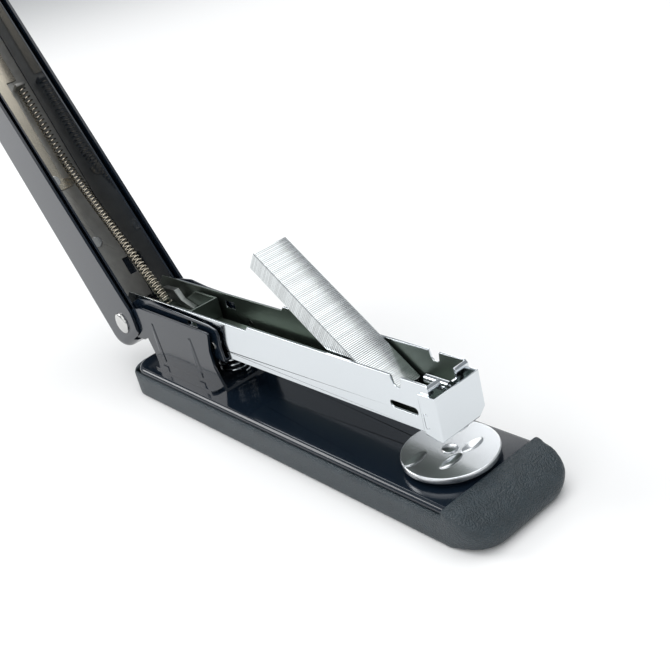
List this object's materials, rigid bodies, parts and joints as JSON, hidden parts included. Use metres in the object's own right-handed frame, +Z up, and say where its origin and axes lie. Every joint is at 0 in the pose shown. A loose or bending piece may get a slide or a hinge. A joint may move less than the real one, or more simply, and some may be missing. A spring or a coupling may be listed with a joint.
{
  "type": "desk stapler",
  "caption": "Desk stapler with its arm swung far back and a stick of staples half lowered into the open channel.",
  "frame": {"origin": "centre of the face that the base rests on", "axes": "+X along the base to the anvil end, +Y across, +Z up"},
  "size_m": [0.2751, 0.0394, 0.1669],
  "materials": {
    "slate_plastic": "fine leathery grain",
    "black_paint": "glossy black enamel",
    "chrome_plate": "mirror bright",
    "nickel": "polished nickel",
    "bare_steel": "bare rolled steel",
    "spring_steel": "bright drawn wire",
    "hook_zinc": "grey zinc plate",
    "staple_wire": "bright zinc coated wire",
    "black_rubber": "matt"
  },
  "bodies": {
    "base": {"base_shell": "slate_plastic", "rubber_pad": "black_rubber", "base_screws": "nickel", "base_plate": "black_paint", "anvil_seat": "bare_steel", "anvil_spring": "spring_steel", "hinge_bracket": "black_paint", "bracket_rivets": "black_paint", "hinge_pin": "nickel", "pin_washers": "bare_steel", "return_spring": "chrome_plate"},
    "anvil": {"anvil_disc": "chrome_plate", "anvil_post": "nickel", "anvil_clip": "spring_steel"},
    "magazine": {"magazine": "chrome_plate", "nose_plate": "chrome_plate", "staple_rail": "chrome_plate", "hold_down_tongue": "chrome_plate", "cradle": "black_paint", "cradle_rivets": "nickel"},
    "arm": {"arm_cover": "black_paint", "arm_frame": "black_paint", "web_plate": "bare_steel", "driver_leaf": "spring_steel", "driver_blade": "bare_steel", "frame_rivets": "nickel", "spring_anchor": "bare_steel", "follower_spring": "spring_steel"},
    "follower": {"follower": "bare_steel", "spring_link": "hook_zinc"},
    "strip": {"staple_strip": "staple_wire"}
  },
  "joints": [
    {"name": "anvil_turn", "type": "hinge", "parent": "base", "child": "anvil", "pos_m": [0.06075, 0, 0.0124], "axis": [0, 0, 1], "range_deg": [0, 180]},
    {"name": "magazine_press", "type": "hinge", "parent": "base", "child": "magazine", "pos_m": [-0.0925, 0, 0.0244], "axis": [0, 1, 0], "range_deg": [0, 3.2], "stiffness_Nm_per_rad": 3, "springref_deg": -6.88, "deforming": ["return_spring"]},
    {"name": "arm_swing", "type": "hinge", "parent": "magazine", "child": "arm", "pos_m": [-0.0925, 0, 0.0244], "axis": [0, 1, 0], "range_deg": [0, 119.08], "deforming": ["follower_spring"]},
    {"name": "follower_slide", "type": "slide", "parent": "magazine", "child": "follower", "axis": [0.9999, 0, 0.0161], "range_m": [0, 0.035]},
    {"name": "strip_drop", "type": "hinge", "parent": "magazine", "child": "strip", "pos_m": [0.04381, 0, 0.02506], "axis": [0, -1, 0], "range_deg": [0, 35.1]}
  ],
  "couplings": [
    {"joint": "follower_slide", "follows": "arm_swing", "m_per_rad": 0.0168},
    {"joint": "strip_drop", "follows": "arm_swing", "ratio": 0.2945}
  ]
}
